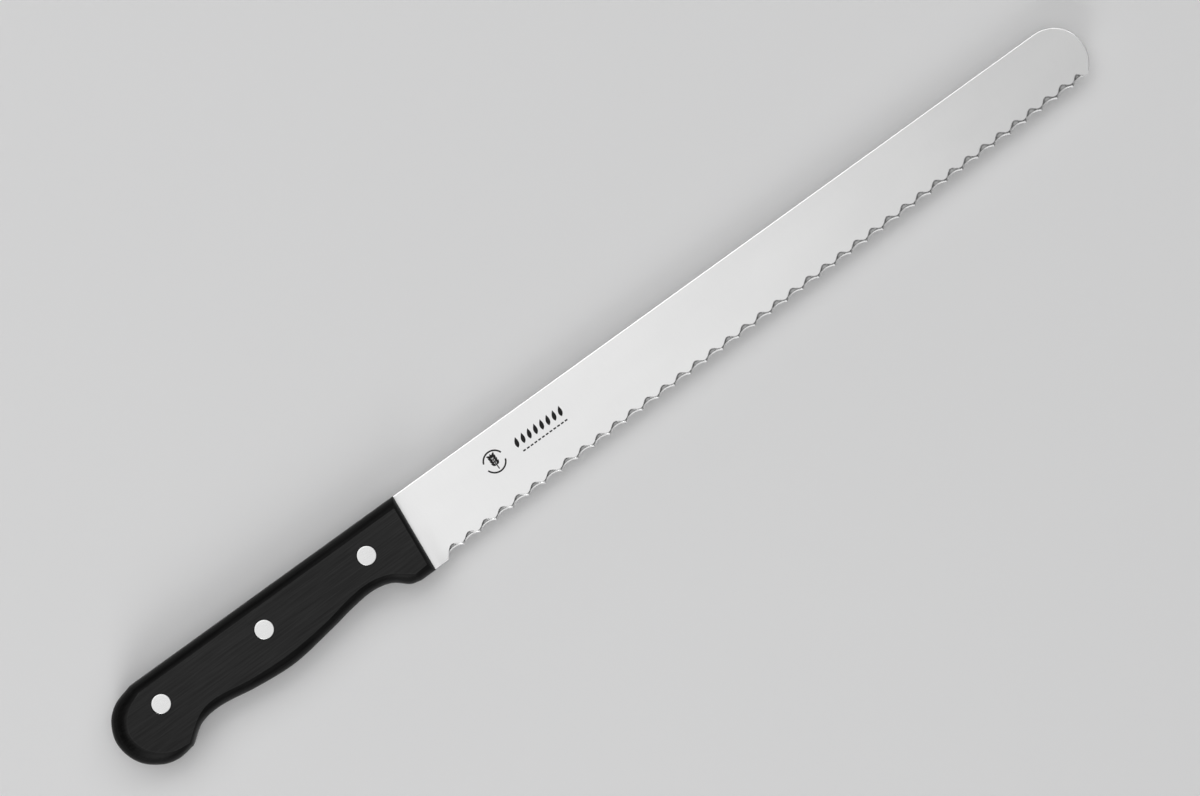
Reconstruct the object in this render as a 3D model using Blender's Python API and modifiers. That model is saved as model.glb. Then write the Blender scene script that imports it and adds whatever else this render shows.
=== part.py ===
"""A full-tang bread knife: scalloped blade, two handle scales and three two-part rivets.

The knife is drawn lying on its left side. +X points from the middle rivet to the tip, +Y to the
spine and +Z out of the right side. Lengths below are in millimetres from the middle rivet's axis
and the middle of the blade's thickness, and turn into metres where a shape is made.
"""

import math

import bmesh
import bpy
from mathutils import Vector
from mathutils.geometry import interpolate_bezier

MM = 0.001

# Blade
SPINE_Y = 11.45
HEEL = (60.9, -18.6)  # lower rear corner of the blade, under the end of the handle
HEEL_FLAT = 5.8  # unsharpened length of the heel's lower edge
TIP_X = 360.9
TIP_RADIUS = 12.86
FRONT_LEAN = math.radians(5.44)  # the handle's front end leans towards the tip at the spine
STEEL = 2.0  # thickness of the tang and spine
EDGE_STEEL = 0.9  # thickness just above the scallops
SPINE_STRIP = 0.8  # full-thickness strip left along the spine
PLUNGE_GAP = 0.6  # distance from the handle's end to the start of the taper
GRINDING_SPARE = 0.5  # steel below the line of points, for the scallops to cut away
HEEL_SLANT = 1.1  # length over which the lower edge drops from the heel to that steel
TIP_STEPS = 24

# Scallops
SCALLOPS = 40
PITCH = 7.226
SCALLOP_DEPTH = 1.35
FIRST_POINT = (67.13, -17.64)
EDGE_RISE = math.radians(1.04)  # the line of points rises towards the tip
GRIND = math.radians(24.0)  # angle between the ground grooves and the blade's face
SCALLOP_STEPS = 6

# Handle
SCALE_THICKNESS = 8.0
SCALE_GAP = 0.1  # bond line between a scale and the tang
SIDE_HEIGHT = 2.6  # upright part of a scale's side, before it rounds over to the flat
ROUND_END = math.radians(68)  # the rounding stops short of the flat, at a soft crease
ROUND_STEPS = 4
OUTLINE_STEPS = 4
LOWER_EDGE = (  # (outer edge, edge of the flat), from the front foot to the beak
    ((54.6, -18.6), (54.3, -15.3)),
    ((50.9, -17.5), (52.5, -13.9)),
    ((45.6, -13.3), (47.0, -10.1)),
    ((38.7, -11.6), (38.9, -8.1)),
    ((30.2, -12.2), (29.7, -8.7)),
    ((19.3, -14.0), (18.7, -10.7)),
    ((1.5, -16.2), (1.3, -12.1)),
    ((-14.0, -15.1), (-13.2, -11.4)),
    ((-28.0, -13.0), (-28.4, -9.4)),
    ((-36.8, -14.0), (-35.4, -10.9)),
    ((-44.0, -18.7), (-44.1, -16.9)),
)
BUTT = (  # (outer edge, edge of the flat), from the beak round to the top edge
    ((-44.0, -18.7), (-44.1, -16.9)),
    ((-50.5, -19.45), (-49.2, -16.3)),
    ((-56.6, -17.7), (-54.2, -13.7)),
    ((-62.9, -12.0), (-58.2, -8.8)),
    ((-65.3, -3.3), (-59.3, -2.9)),
    ((-62.8, 4.4), (-57.3, 1.9)),
    ((-57.7, 9.1), (-53.5, 5.4)),
    ((-50.0, 11.45), (-48.3, 7.7)),
)
FLAT_FRONT_FOOT = (59.5, -15.0)
FLAT_FRONT_TOP = (61.65, 7.8)

# Rivets
RIVET_SPACING = 44.13
RIVETS = {"rear": -RIVET_SPACING, "middle": 0.0, "front": RIVET_SPACING}
HEAD_RADIUS = 3.45
HEAD_THICKNESS = 1.2
HEAD_SUNK = 0.05  # the heads lie this far below the scale's face
TUBE_RADIUS = 2.5
PIN_RADIUS = 1.5
RIVET_CLEARANCE = 0.15
PIN_CLEARANCE = 0.1
RIM_BREAK = 0.15
PIN_SHORT = 2.0  # the pin stops this far before the other head, clear of the bore's floor
PIN_CHAMFER = 0.5
BORE_FLOOR = 0.5  # the bore stops this far short of the head, and the tube of the other one
TURN_STEPS = 32

HALF_STEEL = STEEL / 2
SCALE_INNER = HALF_STEEL + SCALE_GAP
SCALE_OUTER = SCALE_INNER + SCALE_THICKNESS
OVERCUT = 5.0  # how far a cutter reaches past what it cuts
MERGE = 1e-6  # metres
SHARP_ANGLE = math.radians(30)


def front_line_x(y, ahead=0.0):
    """Where the handle's leaning front end crosses a height, or a line that far ahead of it."""
    return HEEL[0] + (y - HEEL[1]) * math.tan(FRONT_LEAN) + ahead


def smooth_run(knots, steps):
    """Points along a smooth curve through the knots."""
    points = [Vector(knot) for knot in knots]
    slopes = [(points[min(i + 1, len(points) - 1)] - points[max(i - 1, 0)]).normalized()
              for i in range(len(points))]
    run = [points[0]]
    for (start, end), (leaving, arriving) in zip(
        zip(points, points[1:]), zip(slopes, slopes[1:])
    ):
        reach = (end - start).length / 3
        run += interpolate_bezier(
            start, start + leaving * reach, end - arriving * reach, end, steps + 1
        )[1:]
    return [(point.x, point.y) for point in run]


def arc(centre, radius, start, end, steps):
    """Points along an arc between two angles in degrees."""
    angles = [math.radians(start + (end - start) * i / steps) for i in range(steps + 1)]
    return [(centre[0] + radius * math.cos(a), centre[1] + radius * math.sin(a)) for a in angles]


def handle_edge(which):
    """The outer edge (0) or the flat's edge (1), from the foot, round the butt, to the top."""
    lower, butt = ([pair[which] for pair in pairs] for pairs in (LOWER_EDGE, BUTT))
    return smooth_run(lower, OUTLINE_STEPS) + smooth_run(butt, OUTLINE_STEPS)[1:]


def edge_line_y(x):
    """Height of the line through the scallops' points."""
    return FIRST_POINT[1] + (x - FIRST_POINT[0]) * math.tan(EDGE_RISE)


def blank_outline():
    """The blade and tang before the scallops are ground: handle, spine, round tip, lower edge."""
    tip_centre = (TIP_X - TIP_RADIUS, SPINE_Y - TIP_RADIUS)
    slant_x = HEEL[0] + HEEL_FLAT
    lower_tip_y = edge_line_y(TIP_X) - GRINDING_SPARE
    lowest = math.degrees(math.asin((lower_tip_y - tip_centre[1]) / TIP_RADIUS))
    return (
        handle_edge(0)
        + arc(tip_centre, TIP_RADIUS, 90, lowest, TIP_STEPS)
        + [(slant_x + HEEL_SLANT, edge_line_y(slant_x)), (slant_x, HEEL[1])]
    )


def collection(name):
    made = bpy.data.collections.new(name)
    bpy.context.scene.collection.children.link(made)
    return made


def material(name, colour, roughness, metallic):
    made = bpy.data.materials.new(name)
    made.use_nodes = True
    shader = made.node_tree.nodes["Principled BSDF"]
    shader.inputs["Base Color"].default_value = (*colour, 1)
    shader.inputs["Roughness"].default_value = roughness
    shader.inputs["Metallic"].default_value = metallic
    made.diffuse_color = (*colour, 1)
    return made


def plate(name, outline, low, high, home):
    """A closed flat solid: the outline filled and extruded between two heights."""
    curve = bpy.data.curves.new(name, "CURVE")
    curve.dimensions = "2D"
    curve.fill_mode = "BOTH"
    curve.extrude = (high - low) / 2 * MM
    spline = curve.splines.new("POLY")
    spline.points.add(len(outline) - 1)
    for point, (x, y) in zip(spline.points, outline):
        point.co = (x * MM, y * MM, 0, 1)
    spline.use_cyclic_u = True
    flat = bpy.data.objects.new(name, curve)
    home.objects.link(flat)
    bpy.context.view_layer.update()
    evaluated = flat.evaluated_get(bpy.context.evaluated_depsgraph_get())
    mesh = bpy.data.meshes.new_from_object(evaluated)
    bpy.data.objects.remove(flat)
    bm = bmesh.new()
    bm.from_mesh(mesh)
    bmesh.ops.remove_doubles(bm, verts=bm.verts, dist=MERGE)
    bmesh.ops.recalc_face_normals(bm, faces=bm.faces)
    bmesh.ops.translate(bm, verts=bm.verts, vec=(0, 0, (low + high) / 2 * MM))
    bm.to_mesh(mesh)
    bm.free()
    solid = bpy.data.objects.new(name, mesh)
    home.objects.link(solid)
    return solid


def turned(name, profile, home):
    """A turned solid from (radius, height) points that run down its outer side."""
    mesh = bpy.data.meshes.new(name)
    points = [(radius * MM, 0, height * MM) for radius, height in profile]
    mesh.from_pydata(points, [(i, i + 1) for i in range(len(points) - 1)], [])
    solid = bpy.data.objects.new(name, mesh)
    home.objects.link(solid)
    screw = solid.modifiers.new("turn", "SCREW")
    screw.steps = screw.render_steps = TURN_STEPS
    screw.use_merge_vertices = True
    screw.merge_threshold = MERGE
    return solid


def cut(solid, cutter):
    """Takes the cutter's shape out of the solid, and hides the cutter."""
    boolean = solid.modifiers.new(cutter.name, "BOOLEAN")
    boolean.operation = "DIFFERENCE"
    boolean.object = cutter
    cutter.hide_render = True
    cutter.display_type = "WIRE"


def scallop_rack(home):
    """The form-ground cutter: a rack of shallow arcs, one to a scallop, swept along the grooves."""
    sag = SCALLOP_DEPTH * math.sin(GRIND)
    half = PITCH / 2
    radius = (half**2 + sag**2) / (2 * sag)
    spread = math.degrees(math.asin(half / radius))
    outline = []
    for i in range(SCALLOPS):
        centre = (half + i * PITCH, radius - sag)
        outline += arc(centre, radius, -90 - spread, -90 + spread, SCALLOP_STEPS)[:-1]
    outline += [(SCALLOPS * PITCH, 0), (SCALLOPS * PITCH, OVERCUT), (0, OVERCUT)]
    rack = plate("scallop_rack", outline, -2 * OVERCUT, 2 * OVERCUT, home)
    rack.rotation_euler = (math.radians(90) + GRIND, 0, EDGE_RISE)
    rack.location = (FIRST_POINT[0] * MM, FIRST_POINT[1] * MM, -EDGE_STEEL / 2 * MM)
    return rack


def taper_cutter(name, side, home):
    """A flat grind on one side (+1 right, -1 left), from the spine strip down to the edge."""
    start_y = SPINE_Y - SPINE_STRIP
    depth = HALF_STEEL - EDGE_STEEL / 2
    slope = math.atan(depth / (start_y - (FIRST_POINT[1] + edge_line_y(TIP_X)) / 2))
    far, low = TIP_X + OVERCUT, HEEL[1] - OVERCUT
    outline = [
        (front_line_x(low, PLUNGE_GAP), low - start_y),
        (far, low - start_y),
        (far, 2 * OVERCUT),
        (front_line_x(start_y + 2 * OVERCUT, PLUNGE_GAP), 2 * OVERCUT),
    ]
    span = (0, OVERCUT) if side > 0 else (-OVERCUT, 0)
    cutter = plate(name, outline, *span, home)
    cutter.rotation_euler = (side * slope, 0, 0)
    cutter.location = (0, start_y * MM, side * HALF_STEEL * MM)
    return cutter


def rivet_cutter(name, x, home):
    """The stepped hole for one rivet: a through hole with a counterbore in each scale."""
    sunk = SCALE_OUTER - HEAD_THICKNESS - HEAD_SUNK - RIVET_CLEARANCE
    top = SCALE_OUTER + OVERCUT
    wide = HEAD_RADIUS + RIVET_CLEARANCE
    narrow = TUBE_RADIUS + RIVET_CLEARANCE
    profile = [(0, top), (wide, top), (wide, sunk), (narrow, sunk), (narrow, -sunk),
               (wide, -sunk), (wide, -top), (0, -top)]
    cutter = turned(name, profile, home)
    cutter.location = (x * MM, 0, 0)
    return cutter


def blade(parts, cutters, holes):
    """Blade and full tang in one piece of steel."""
    solid = plate("blade", blank_outline(), -HALF_STEEL, HALF_STEEL, parts)
    cut(solid, taper_cutter("right_taper", 1, cutters))
    cut(solid, taper_cutter("left_taper", -1, cutters))
    cut(solid, scallop_rack(cutters))
    for hole in holes:
        cut(solid, hole)
    return solid


def scale_rings(side):
    """A scale's outlines from its inner face outwards: upright side, rounding, flat."""
    outer = [HEEL] + handle_edge(0) + [(front_line_x(SPINE_Y), SPINE_Y)]
    flat = [FLAT_FRONT_FOOT] + handle_edge(1) + [FLAT_FRONT_TOP]
    shoulder = SCALE_INNER + SIDE_HEIGHT
    rings = [[(x, y, side * SCALE_INNER) for x, y in outer]]
    for i in range(ROUND_STEPS + 1):
        turn = ROUND_END * i / ROUND_STEPS
        inwards = (1 - math.cos(turn)) / (1 - math.cos(ROUND_END))
        height = shoulder + (SCALE_OUTER - shoulder) * math.sin(turn) / math.sin(ROUND_END)
        rings.append([(x + (fx - x) * inwards, y + (fy - y) * inwards, side * height)
                      for (x, y), (fx, fy) in zip(outer, flat)])
    return rings


def loft(name, rings, home):
    """A closed solid over matching rings, capped at both ends."""
    bm = bmesh.new()
    loops = [[bm.verts.new(Vector(point) * MM) for point in ring] for ring in rings]
    for low, high in zip(loops, loops[1:]):
        for i in range(len(low)):
            bm.faces.new((low[i - 1], low[i], high[i], high[i - 1]))
    bm.faces.new(loops[0])
    bm.faces.new(loops[-1])
    bmesh.ops.recalc_face_normals(bm, faces=bm.faces)
    mesh = bpy.data.meshes.new(name)
    bm.to_mesh(mesh)
    bm.free()
    solid = bpy.data.objects.new(name, mesh)
    home.objects.link(solid)
    return solid


def scale(name, side, parts, holes):
    """One handle scale, on the right (+1) or left (-1) of the tang, with its rivet holes."""
    solid = loft(name, scale_rings(side), parts)
    for hole in holes:
        cut(solid, hole)
    return solid


def rivet_pin(name, x, parts):
    """Solid half of a rivet: a head on the right side with its pin."""
    face = SCALE_OUTER - HEAD_SUNK
    under = face - HEAD_THICKNESS
    end = PIN_SHORT - under
    profile = [(0, face), (HEAD_RADIUS - RIM_BREAK, face), (HEAD_RADIUS, face - RIM_BREAK),
               (HEAD_RADIUS, under), (PIN_RADIUS, under), (PIN_RADIUS, end + PIN_CHAMFER),
               (PIN_RADIUS - PIN_CHAMFER, end), (0, end)]
    solid = turned(name, profile, parts)
    solid.location = (x * MM, 0, 0)
    return solid


def rivet_tube(name, x, parts):
    """Hollow half of a rivet: a head on the left side with the tube that takes the pin."""
    face = SCALE_OUTER - HEAD_SUNK
    under = face - HEAD_THICKNESS
    top = under - BORE_FLOOR
    bore = PIN_RADIUS + PIN_CLEARANCE
    floor = BORE_FLOOR - under
    profile = [(0, floor), (bore, floor), (bore, top), (TUBE_RADIUS, top),
               (TUBE_RADIUS, -under), (HEAD_RADIUS, -under), (HEAD_RADIUS, RIM_BREAK - face),
               (HEAD_RADIUS - RIM_BREAK, -face), (0, -face)]
    solid = turned(name, profile, parts)
    solid.location = (x * MM, 0, 0)
    return solid


def shade(solid, surface):
    solid.data.materials.clear()
    solid.data.materials.append(surface)
    solid.data.shade_smooth()
    solid.data.set_sharp_from_angle(angle=SHARP_ANGLE)


def stand_on_origin(objects, everything):
    """Moves the whole knife so that its box stands on the origin."""
    graph = bpy.context.evaluated_depsgraph_get()
    corners = [Vector(corner) for solid in objects
               for corner in solid.evaluated_get(graph).bound_box]
    low = Vector(map(min, zip(*corners)))
    high = Vector(map(max, zip(*corners)))
    frame = bpy.data.objects.new("knife_frame", None)
    bpy.context.scene.collection.objects.link(frame)
    frame.location = (-(low.x + high.x) / 2, -(low.y + high.y) / 2, SCALE_OUTER * MM)
    for solid in everything:
        solid.parent = frame


def main():
    for leftover in list(bpy.data.objects):
        bpy.data.objects.remove(leftover)
    parts, cutters = collection("bread_knife"), collection("cutters")
    steel = material("satin_steel", (0.70, 0.71, 0.72), 0.32, 1.0)
    wood = material("black_laminated_wood", (0.028, 0.026, 0.025), 0.45, 0.0)
    rivet_steel = material("rivet_steel", (0.75, 0.75, 0.74), 0.28, 1.0)

    holes = [rivet_cutter(f"{place}_rivet_hole", x, cutters) for place, x in RIVETS.items()]
    knife = blade(parts, cutters, holes)
    right = scale("right_scale", 1, parts, holes)
    left = scale("left_scale", -1, parts, holes)
    rivets = []
    for place, x in RIVETS.items():
        rivets.append(rivet_pin(f"{place}_rivet_pin", x, parts))
        rivets.append(rivet_tube(f"{place}_rivet_tube", x, parts))

    shade(knife, steel)
    for solid in (right, left):
        shade(solid, wood)
    for solid in rivets:
        shade(solid, rivet_steel)
    bpy.context.view_layer.update()
    stand_on_origin([knife, right, left], list(parts.objects) + list(cutters.objects))


main()
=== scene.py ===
"""Looks of a full-tang bread knife: satin blade, ground scallops, black laminated scales, rivets.

Shapes are drawn in millimetres from the middle rivet's axis and the middle of the steel's
thickness: +X to the tip, +Y to the spine, +Z out of the right side.
"""

import math

import bmesh
import bpy
from mathutils import Matrix, Vector
from mathutils.geometry import delaunay_2d_cdt, interpolate_bezier


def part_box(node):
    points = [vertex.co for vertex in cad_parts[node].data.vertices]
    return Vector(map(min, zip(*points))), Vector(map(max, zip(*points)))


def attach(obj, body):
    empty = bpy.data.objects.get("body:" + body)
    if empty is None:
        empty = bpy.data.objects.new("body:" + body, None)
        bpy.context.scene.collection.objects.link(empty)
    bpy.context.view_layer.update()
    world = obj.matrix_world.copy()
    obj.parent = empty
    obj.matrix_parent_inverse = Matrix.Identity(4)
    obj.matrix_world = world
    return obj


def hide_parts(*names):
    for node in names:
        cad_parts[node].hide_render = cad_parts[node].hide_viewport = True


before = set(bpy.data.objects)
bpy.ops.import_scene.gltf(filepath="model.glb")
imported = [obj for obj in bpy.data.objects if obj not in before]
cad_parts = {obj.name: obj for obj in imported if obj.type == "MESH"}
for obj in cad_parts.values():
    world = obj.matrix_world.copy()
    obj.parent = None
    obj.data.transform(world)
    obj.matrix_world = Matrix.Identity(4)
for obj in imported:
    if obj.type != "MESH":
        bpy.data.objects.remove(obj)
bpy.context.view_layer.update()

MM = 0.001

# Steel
SPINE_Y = 11.45
HEEL = (60.9, -18.6)
HEEL_FLAT = 5.8
TIP_X = 360.9
TIP_RADIUS = 12.86
TIP_CENTRE = (TIP_X - TIP_RADIUS, SPINE_Y - TIP_RADIUS)
FRONT_LEAN = math.radians(5.44)
HALF_STEEL = 1.0
TAPER = math.tan(math.radians(1.2297))
TAPER_START = SPINE_Y - 0.8
TAPER_RUN_OUT = 7.0  # ahead of the handle, over which the flat tang turns into the taper
EDGE_BREAK = 0.42  # polished rounding of the spine and the tip, seen from the side
BREAK_FALL = 0.36  # its fall, as a share of that
HIDDEN_BREAK = 0.05  # rounding of the tang, ground flush with the scales
BREAK_STEPS = 5
BREAK_BEHIND = 1.5  # the wider rounding starts this far behind the handle's end
BREAK_RUN = 1.0  # and reaches its width over this length
BREAK_RUN_IN = 6  # corners over which the rounding grows from nothing at its ends
TIP_STEPS = 64
SPINE_STEPS = 90
HANDLE_TOP_STEPS = 50
HEEL_STEPS = 12
SLANT_STEPS = 4
TIP_SEARCH = 8.0  # the grooves run out on the tip within this length
HALVINGS = 40
SATIN, GROUND, HONED, POLISHED_WITH_PAINTED_HIGHLIGHT = range(4)  # the finishes' places on the blade

# Loose points that carry the taper over the blade's faces
FACE_START = -60.0
FACE_STEP = 6.0
FINE_STRETCH = (55, 84)  # where the flat tang turns into the taper
FINE_STEP = 2.0
FACE_ROWS = (-16, -14.5, -12, -8, -4, 0, 4, 8, TAPER_START - 0.05)
ROW_SLANT = 0.01  # keeps the points off one straight line
FACE_MARGIN = 1.2  # from the tip's edge and the holes
EDGE_MARGIN = 5.0  # from the cutting edge

# Scallops
SCALLOPS = 40
PITCH = 7.226
SCALLOP_STEPS = 22
FIRST_POINT = (67.13, -17.64)
EDGE_RISE = math.radians(1.04)
STEP_X = PITCH * math.cos(EDGE_RISE)
DEPTH = (1.35, 1.2, 1.26)  # at the heel, in the middle and at the tip
BAND_AT_POINTS = (1.3, 1.36, 1.5)
BAND_AT_TOPS = (1.65, 2.0, 2.25)
FIRST_FLANK = 1.7  # the first groove opens out of the heel over this length
LAST_FLANK = 3.4  # and the last one closes towards the tip over this one
LAST_END = 354.9
LAST_GROOVE = 0.3  # share of its width that is left at the tip
SHOULDER = 0.36  # width of the steep rim where the wheel cut into the face
HONED_WIDTH = (0.42, 0.6)  # in the arches and at the points
HONED_SLOPE = 0.12
EDGE_THICKNESS = (0.36, 0.7)  # above the keen bevel, in the arches and at the points
KEEN = 0.12  # width of the steep bevel that ends in the cutting edge
KEEN_SHARE = 0.2  # the bevel, band and shoulder narrow to these shares of a closing groove
HONED_SHARE = 0.45
SHOULDER_SHARE = 0.4
SHOULDER_DROP = 0.45  # the shoulder's share of the groove's depth
# Rows of the groove from its rim: (share of the shoulder's width, share of its drop), then the
# same over the wheel's long facet, which ends in a small step above the honed edge
SHOULDER_ROWS = ((0.0, 0.0), (0.3, 0.34), (0.6, 0.66), (0.85, 0.9), (1.0, 1.0))
FACET_ROWS = ((0.2, 0.23), (0.45, 0.46), (0.7, 0.68), (0.93, 0.87), (1.0, 1.0))

# Handle
SCALE_INNER = 1.1
SCALE_OUTER = 9.1
SIDE_HEIGHT = 2.6
ROUND_END = math.radians(68)
ROUND_STEPS = 14
OUTLINE_STEPS = 10
FRONT_STEPS = 12
LOWER_EDGE = (  # (outer edge, edge of the flat), from the front foot to the beak
    ((54.6, -18.6), (54.3, -15.3)),
    ((50.9, -17.5), (52.5, -13.9)),
    ((45.6, -13.3), (47.0, -10.1)),
    ((38.7, -11.6), (38.9, -8.1)),
    ((30.2, -12.2), (29.7, -8.7)),
    ((19.3, -14.0), (18.7, -10.7)),
    ((1.5, -16.2), (1.3, -12.1)),
    ((-14.0, -15.1), (-13.2, -11.4)),
    ((-28.0, -13.0), (-28.4, -9.4)),
    ((-36.8, -14.0), (-35.4, -10.9)),
    ((-44.0, -18.7), (-44.1, -16.9)),
)
BUTT = (  # from the beak round to the top edge
    ((-44.0, -18.7), (-44.1, -16.9)),
    ((-50.5, -19.45), (-49.2, -16.3)),
    ((-56.6, -17.7), (-54.2, -13.7)),
    ((-62.9, -12.0), (-58.2, -8.8)),
    ((-65.3, -3.3), (-59.3, -2.9)),
    ((-62.8, 4.4), (-57.3, 1.9)),
    ((-57.7, 9.1), (-53.5, 5.4)),
    ((-50.0, 11.45), (-48.3, 7.7)),
)
FLAT_FRONT_FOOT = (59.5, -15.0)
FLAT_FRONT_TOP = (61.65, 7.8)
INSET = 0.4  # the worn margin of the flats
MOUTH_BREAK = 0.06  # broken edge of the rivet holes' mouths
# The handle's flats are painted paler than their rounded sides: painted light, by how straight out
# a face looks
LIT_FLAT_FROM = 0.94  # how nearly a face looks straight out where the flats' painted light begins
LIT_FLAT_CRISPNESS = 25.0

# Rivets
RIVET_SPACING = 44.13
RIVETS = {"rear": -RIVET_SPACING, "middle": 0.0, "front": RIVET_SPACING}
HEAD_RADIUS = 3.45
HEAD_THICKNESS = 1.2
HEAD_SUNK = 0.05
HOLE_CLEARANCE = 0.15
TUBE_RADIUS = 2.5
PIN_RADIUS = 1.5
TURN_STEPS = 72
CROWN = 0.05  # rise of a head's middle
HEAD_RIM = 0.16  # radius of its rim
HEAD_STEPS = (0.0, 0.15, 0.3, 0.45, 0.6, 0.75, 0.88, 1.0)  # shares of the crowned face
RIM_START = 12  # degrees
RIM_STEPS = 4
WORN_RINGS = slice(6, 9)  # where the crown meets the rim
PIN_SHORT = 2.0  # the pin stops this far before the other head
PIN_CHAMFER = 0.5
PIN_CLEARANCE = 0.1
BORE_FLOOR = 0.5  # the bore stops this far short of the head, and the tube of the other one
COUNTERBORE = SCALE_OUTER - HEAD_THICKNESS - HEAD_SUNK - HOLE_CLEARANCE

# Etched ornament
ETCH_PROUD = 0.012
EMBLEM = (100.2, 0.3)
EMBLEM_RING = (4.3, 3.7)  # outer and inner radius
EMBLEM_ARCS = ((20, 160), (200, 340))  # degrees
EMBLEM_STEPS = 22
STALK = (0.4, 4.2)
STALK_DROP = 1.0
EAR_GRAIN = (2.0, 0.95)  # length and width
TOP_GRAIN = (2.0, 1.0)
EAR_PAIRS = 4
EAR_FOOT = 1.5  # the lowest pair's feet lie this far under the emblem's middle
EAR_STEP = 1.05
EAR_SPREAD = 0.24
EAR_LEAN = 42  # degrees from upright
TOP_GRAIN_RISE = 1.25
GRAINS = 8
FIRST_GRAIN = (110.0, -0.7)
GRAIN_STEP = 2.72
ROW_GRAIN = (4.0, 1.6)
ROW_GRAIN_TURN = math.radians(74)
GRAIN_STEPS = 8
GRAIN_FULLNESS = 0.8  # below 1, a grain is widest nearer its foot
DASHES = 12
FIRST_DASH = (111.2, -2.7)
DASH_STEP = 1.66
DASH = (1.1, 0.55)

# Meshes
WORN = "worn"  # marks the corners that hands and cloths rub
MEET = 1e-6
SHARP_ANGLE = 35  # degrees
RIVET_SHARP_ANGLE = 28

# Studio, in metres
FLOOR_REACH = 6.0
FLOOR_STEPS = 12
# The room's light by height, from the horizon (0) to overhead (1): pale walls, a darker
# band above them and a bright ceiling
ROOM_LIGHT = ((0.0, 0.36), (0.21, 0.28), (0.36, 0.05), (0.58, 0.07), (0.9, 0.56))
BACKDROP = 0.6
SOFTBOXES = (  # name, where, target, size, power
    ("overhead", (-0.5, 0.1, 1.9), (-0.5, 0.1, 0), (1.9, 1.7), 4.7),
    ("spine_side", (0.1, 1.2, 1.8), (0.1, 0, 0), (2.4, 1.2), 10.0),
    ("tip_side", (1.65, 0.6, 1.8), (0.2, 0, 0), (1.0, 1.0), 4.0),
    ("heel_side", (-1.3, -1.2, 1.0), (0.05, 0, 0), (0.9, 0.9), 11.0),
)

# Camera, in millimetres from the knife's origin
CAMERA_AT = (69.65, 29, 1100)
CAMERA_TARGET = (143.9, -3.34, 1.0)
CAMERA_TURN = math.radians(-35.74)
CAMERA_LENS = 92.76
CAMERA_SENSOR = 36
CAMERA_CLIP = (0.01, 50)  # metres


def knife_origin():
    """The middle rivet's axis at the middle of the steel's thickness."""
    pin_low, pin_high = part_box("middle_rivet_pin")
    steel_low, steel_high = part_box("blade")
    axis = (pin_low + pin_high) / 2
    return Vector((axis.x, axis.y, (steel_low.z + steel_high.z) / 2))


ORIGIN = knife_origin()


# ---------------------------------------------------------------- drawing


def clamp(value, low=0.0, high=1.0):
    return min(high, max(low, value))


def ease(share):
    share = clamp(share)
    return share * share * (3 - 2 * share)


def along(three, share):
    """A measure that goes through its values at the heel, the middle and the tip."""
    heel, middle, tip = three
    if share < 0.5:
        return heel + (middle - heel) * share * 2
    return middle + (tip - middle) * (share * 2 - 1)


def between(pair, share):
    return pair[0] + (pair[1] - pair[0]) * share


def front_line_x(y):
    """Where the handle's leaning front end crosses a height."""
    return HEEL[0] + (y - HEEL[1]) * math.tan(FRONT_LEAN)


def smooth_run(knots, steps):
    """Points along a smooth curve through the knots."""
    points = [Vector(knot) for knot in knots]
    slopes = [(points[min(i + 1, len(points) - 1)] - points[max(i - 1, 0)]).normalized()
              for i in range(len(points))]
    run = [points[0]]
    for i in range(len(points) - 1):
        start, end = points[i], points[i + 1]
        reach = (end - start).length / 3
        run += interpolate_bezier(
            start, start + slopes[i] * reach, end - slopes[i + 1] * reach, end, steps + 1
        )[1:]
    return [(point.x, point.y) for point in run]


def straight_run(start, end, steps):
    """Points between two ends, with both of them."""
    start, end = Vector(start), Vector(end)
    return [tuple(start.lerp(end, i / steps)) for i in range(steps + 1)]


def arc(centre, radius, start, end, steps):
    angles = [start + (end - start) * i / steps for i in range(steps + 1)]
    return [(centre[0] + radius * math.cos(a), centre[1] + radius * math.sin(a)) for a in angles]


def handle_edge(which):
    """The outer edge (0) or the flat's edge (1), from the foot, round the butt, to the top."""
    lower, butt = ([pair[which] for pair in pairs] for pairs in (LOWER_EDGE, BUTT))
    return smooth_run(lower, OUTLINE_STEPS) + smooth_run(butt, OUTLINE_STEPS)[1:]


# ---------------------------------------------------------------- meshes


def bridge(bm, low, high, closed=False, finish=0):
    """Faces between two matching rows of corners. Rows may share a corner at their ends."""
    count = len(low)
    for i in range(count if closed else count - 1):
        j = (i + 1) % count
        corners = []
        for corner in (low[i], low[j], high[j], high[i]):
            if corner not in corners:
                corners.append(corner)
        if len(corners) > 2:
            bm.faces.new(corners).material_index = finish


def crease(bm, row, closed=False):
    """Keeps the edges along a row of corners sharp."""
    pairs = list(zip(row, row[1:])) + ([(row[-1], row[0])] if closed else [])
    for start, end in pairs:
        edge = bm.edges.get((start, end))
        if edge:
            edge.smooth = False


def fill(bm, loops, inside, height):
    """Triangles between closed loops of corners, with loose points inside, at a height.

    Loops after the first are round holes and stay open.
    """
    known = [corner for loop in loops for corner in loop]
    flat = [corner.co.xy for corner in known] + [Vector(point) for point in inside]
    edges, start = [], 0
    for loop in loops:
        edges += [(start + i, start + (i + 1) % len(loop)) for i in range(len(loop))]
        start += len(loop)
    points, _, faces, sources, _, _ = delaunay_2d_cdt(flat, edges, [], 1, MEET)
    holes = []
    for loop in loops[1:]:
        centre = sum((corner.co.xy for corner in loop), Vector((0, 0))) / len(loop)
        holes.append((centre, (loop[0].co.xy - centre).length))
    corners = []
    for point, source in zip(points, sources):
        if source and source[0] < len(known):
            corners.append(known[source[0]])
        else:
            corners.append(bm.verts.new((point.x, point.y, height(point.x, point.y))))
    for face in faces:
        middle = sum((points[i] for i in face), Vector((0, 0))) / len(face)
        if all((middle - centre).length > radius for centre, radius in holes):
            bm.faces.new([corners[i] for i in face])


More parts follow.
